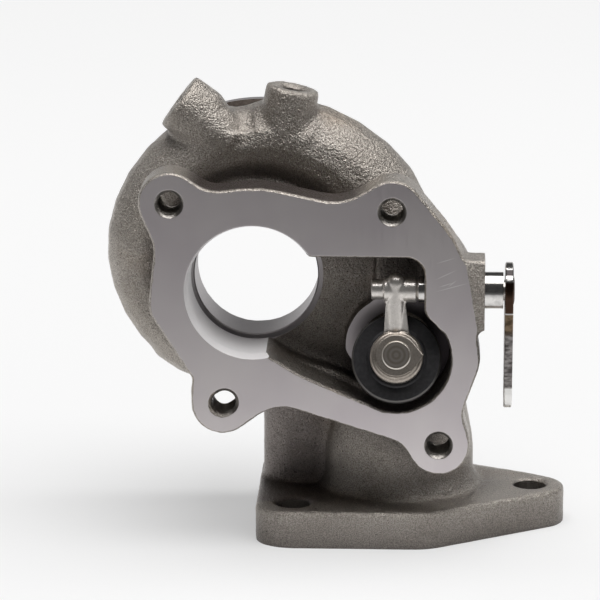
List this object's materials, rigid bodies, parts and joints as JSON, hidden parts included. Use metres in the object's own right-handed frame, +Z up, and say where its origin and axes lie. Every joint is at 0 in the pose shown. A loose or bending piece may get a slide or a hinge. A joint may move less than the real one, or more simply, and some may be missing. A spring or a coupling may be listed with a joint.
{
  "type": "turbine housing",
  "caption": "Cast turbocharger turbine housing with a lugged outlet flange, triangular inlet foot, bolt bosses and a hinged internal wastegate valve on an outside lever.",
  "frame": {"origin": "on the turbine axis, in the plane of the outlet flange's face", "axes": "+Y along the turbine axis from the outlet face to the centre housing, +Z up from the inlet foot, +X towards the wastegate lever"},
  "size_m": [0.1492, 0.0764, 0.1456],
  "materials": {
    "cast_iron": "as-cast, blasted grain, machined faces brighter",
    "bush_steel": "turned and ground",
    "arm_steel": "satin investment casting",
    "valve_iron": "dark heat-resistant alloy, fine turned face",
    "washer_steel": "stamped, dull",
    "lever_steel": "stamped plate with sheared edges",
    "weld": "heat-tinted weld"
  },
  "bodies": {
    "casting": {"housing": "cast_iron", "shaft_bush": "bush_steel"},
    "gate": {"gate_arm": "arm_steel", "lever": "lever_steel", "lever_weld": "weld"},
    "valve": {"valve_disc": "valve_iron", "valve_washer": "washer_steel"}
  },
  "joints": [
    {"name": "gate_hinge", "type": "hinge", "parent": "casting", "child": "gate", "pos_m": [0.0452, 0.007, -0.0003], "axis": [-1, 0, 0], "range_deg": [-24, 31]},
    {"name": "valve_spin", "type": "hinge", "parent": "gate", "child": "valve", "pos_m": [0.0452, 0.00374, -0.02173], "axis": [0, -0.9135, 0.4067], "continuous": true}
  ]
}
